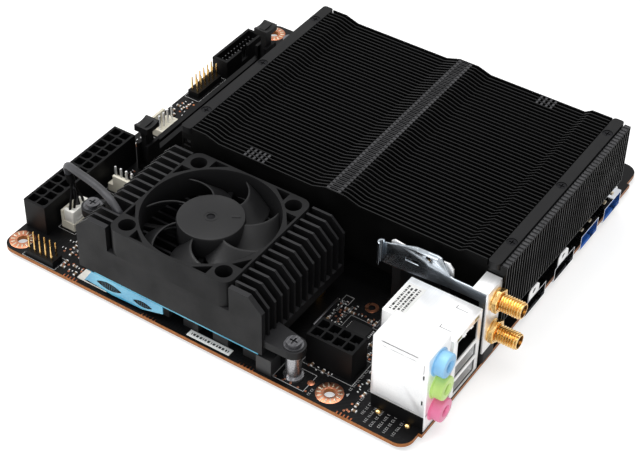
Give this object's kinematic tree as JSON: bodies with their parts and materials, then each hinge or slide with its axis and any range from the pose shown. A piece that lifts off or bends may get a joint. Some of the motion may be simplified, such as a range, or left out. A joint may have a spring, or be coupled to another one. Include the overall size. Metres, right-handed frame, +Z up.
{
  "type": "computer mainboard",
  "caption": "Small square computer mainboard with a fan-cooled finned block, a large passive fin stack, power sockets and a row of rear connectors.",
  "frame": {"origin": "centre of the square board's underside", "axes": "+Z up out of the board, -Y towards the rear edge with the sockets, +Y towards the front edge with the memory socket, -X towards the fan cooler"},
  "size_m": [0.17, 0.182, 0.0405],
  "materials": {
    "circuit_board": "satin solder mask",
    "ring_copper": "satin",
    "socket_black": "matt",
    "tinned_pins": "satin",
    "gold_pins": "polished",
    "cream_plastic": "satin",
    "plug_white": "satin",
    "lead_sleeve": "satin",
    "fan_plastic": "satin",
    "rotor_plastic": "satin",
    "plain_steel": "polished",
    "bearing_bronze": "satin",
    "coil_copper": "enamelled",
    "dark_steel": "blackened",
    "cooler_black": "black anodised",
    "silver_steel": "satin",
    "grey_steel": "satin",
    "pad_blue": "matt",
    "liner_blue": "translucent film",
    "choke_grey": "matt ferrite",
    "chip_green": "satin",
    "paste_grey": "matt",
    "processor_lid": "satin nickel",
    "fin_black": "black anodised",
    "block_grey": "milled",
    "pipe_copper": "drawn copper",
    "bar_grey": "dark anodised",
    "post_brass": "turned",
    "latch_black": "satin",
    "card_green": "satin",
    "bracket_steel": "zinc plated",
    "gold_plate": "gold plated",
    "tin_shell": "tin plated",
    "jack_blue": "satin",
    "usb_blue": "satin",
    "chip_black": "matt",
    "can_aluminium": "satin"
  },
  "bodies": {
    "mainboard": {"board": "circuit_board", "mounting_rings": "ring_copper", "power_socket_24": "socket_black", "power_pins_24": "tinned_pins", "power_socket_8": "socket_black", "power_pins_8": "tinned_pins", "usb_header_shroud": "socket_black", "usb_header_pins": "gold_pins", "pin_header_bases": "socket_black", "pin_header_pins": "gold_pins", "fan_header_bodies": "cream_plastic", "fan_header_pins": "tinned_pins", "fan_plug": "plug_white", "fan_lead": "lead_sleeve", "fan_frame": "fan_plastic", "fan_bearing": "bearing_bronze", "fan_stator": "coil_copper", "fan_screws": "dark_steel", "fan_cooler_body": "cooler_black", "arm_posts": "silver_steel", "arm_screws": "grey_steel", "thermal_pad": "pad_blue", "pad_liner": "liner_blue", "power_chokes": "choke_grey", "companion_chip": "chip_green", "thermal_paste": "paste_grey", "main_processor": "processor_lid", "fin_stack": "fin_black", "sink_block": "block_grey", "heat_pipes": "pipe_copper", "flange_bars": "bar_grey", "bar_screws": "dark_steel", "nut_strips": "plain_steel", "spacer_posts": "post_brass", "underside_screws": "dark_steel", "memory_socket": "socket_black", "memory_contacts": "gold_pins", "latch_pins": "plain_steel", "card_socket": "socket_black", "wireless_card": "card_green", "wireless_bracket": "bracket_steel", "bracket_foot": "socket_black", "antenna_connectors": "gold_plate", "antenna_nuts": "gold_plate", "lan_usb_shell": "tin_shell", "lan_usb_insert": "socket_black", "audio_shell": "tin_shell", "audio_base": "socket_black", "audio_jacks": "jack_blue", "display_shells": "tin_shell", "display_cores": "socket_black", "usb_shells": "tin_shell", "usb_cores": "usb_blue", "end_bracket": "tin_shell", "board_chips": "chip_black", "capacitors": "can_aluminium"},
    "rotor": {"fan_rotor": "rotor_plastic", "fan_shaft": "plain_steel"},
    "latch_left": {"memory_latch_left": "latch_black"},
    "latch_right": {"memory_latch_right": "latch_black"}
  },
  "joints": [
    {"name": "fan_spin", "type": "hinge", "parent": "mainboard", "child": "rotor", "pos_m": [-0.059, 0.00975, 0.024], "axis": [0, 0, 1], "continuous": true},
    {"name": "latch_left_open", "type": "hinge", "parent": "mainboard", "child": "latch_left", "pos_m": [-0.0195, 0.069, 0.0056], "axis": [0, -1, 0], "range_deg": [0, 28]},
    {"name": "latch_right_open", "type": "hinge", "parent": "mainboard", "child": "latch_right", "pos_m": [0.0571, 0.069, 0.0056], "axis": [0, 1, 0], "range_deg": [0, 28]}
  ]
}
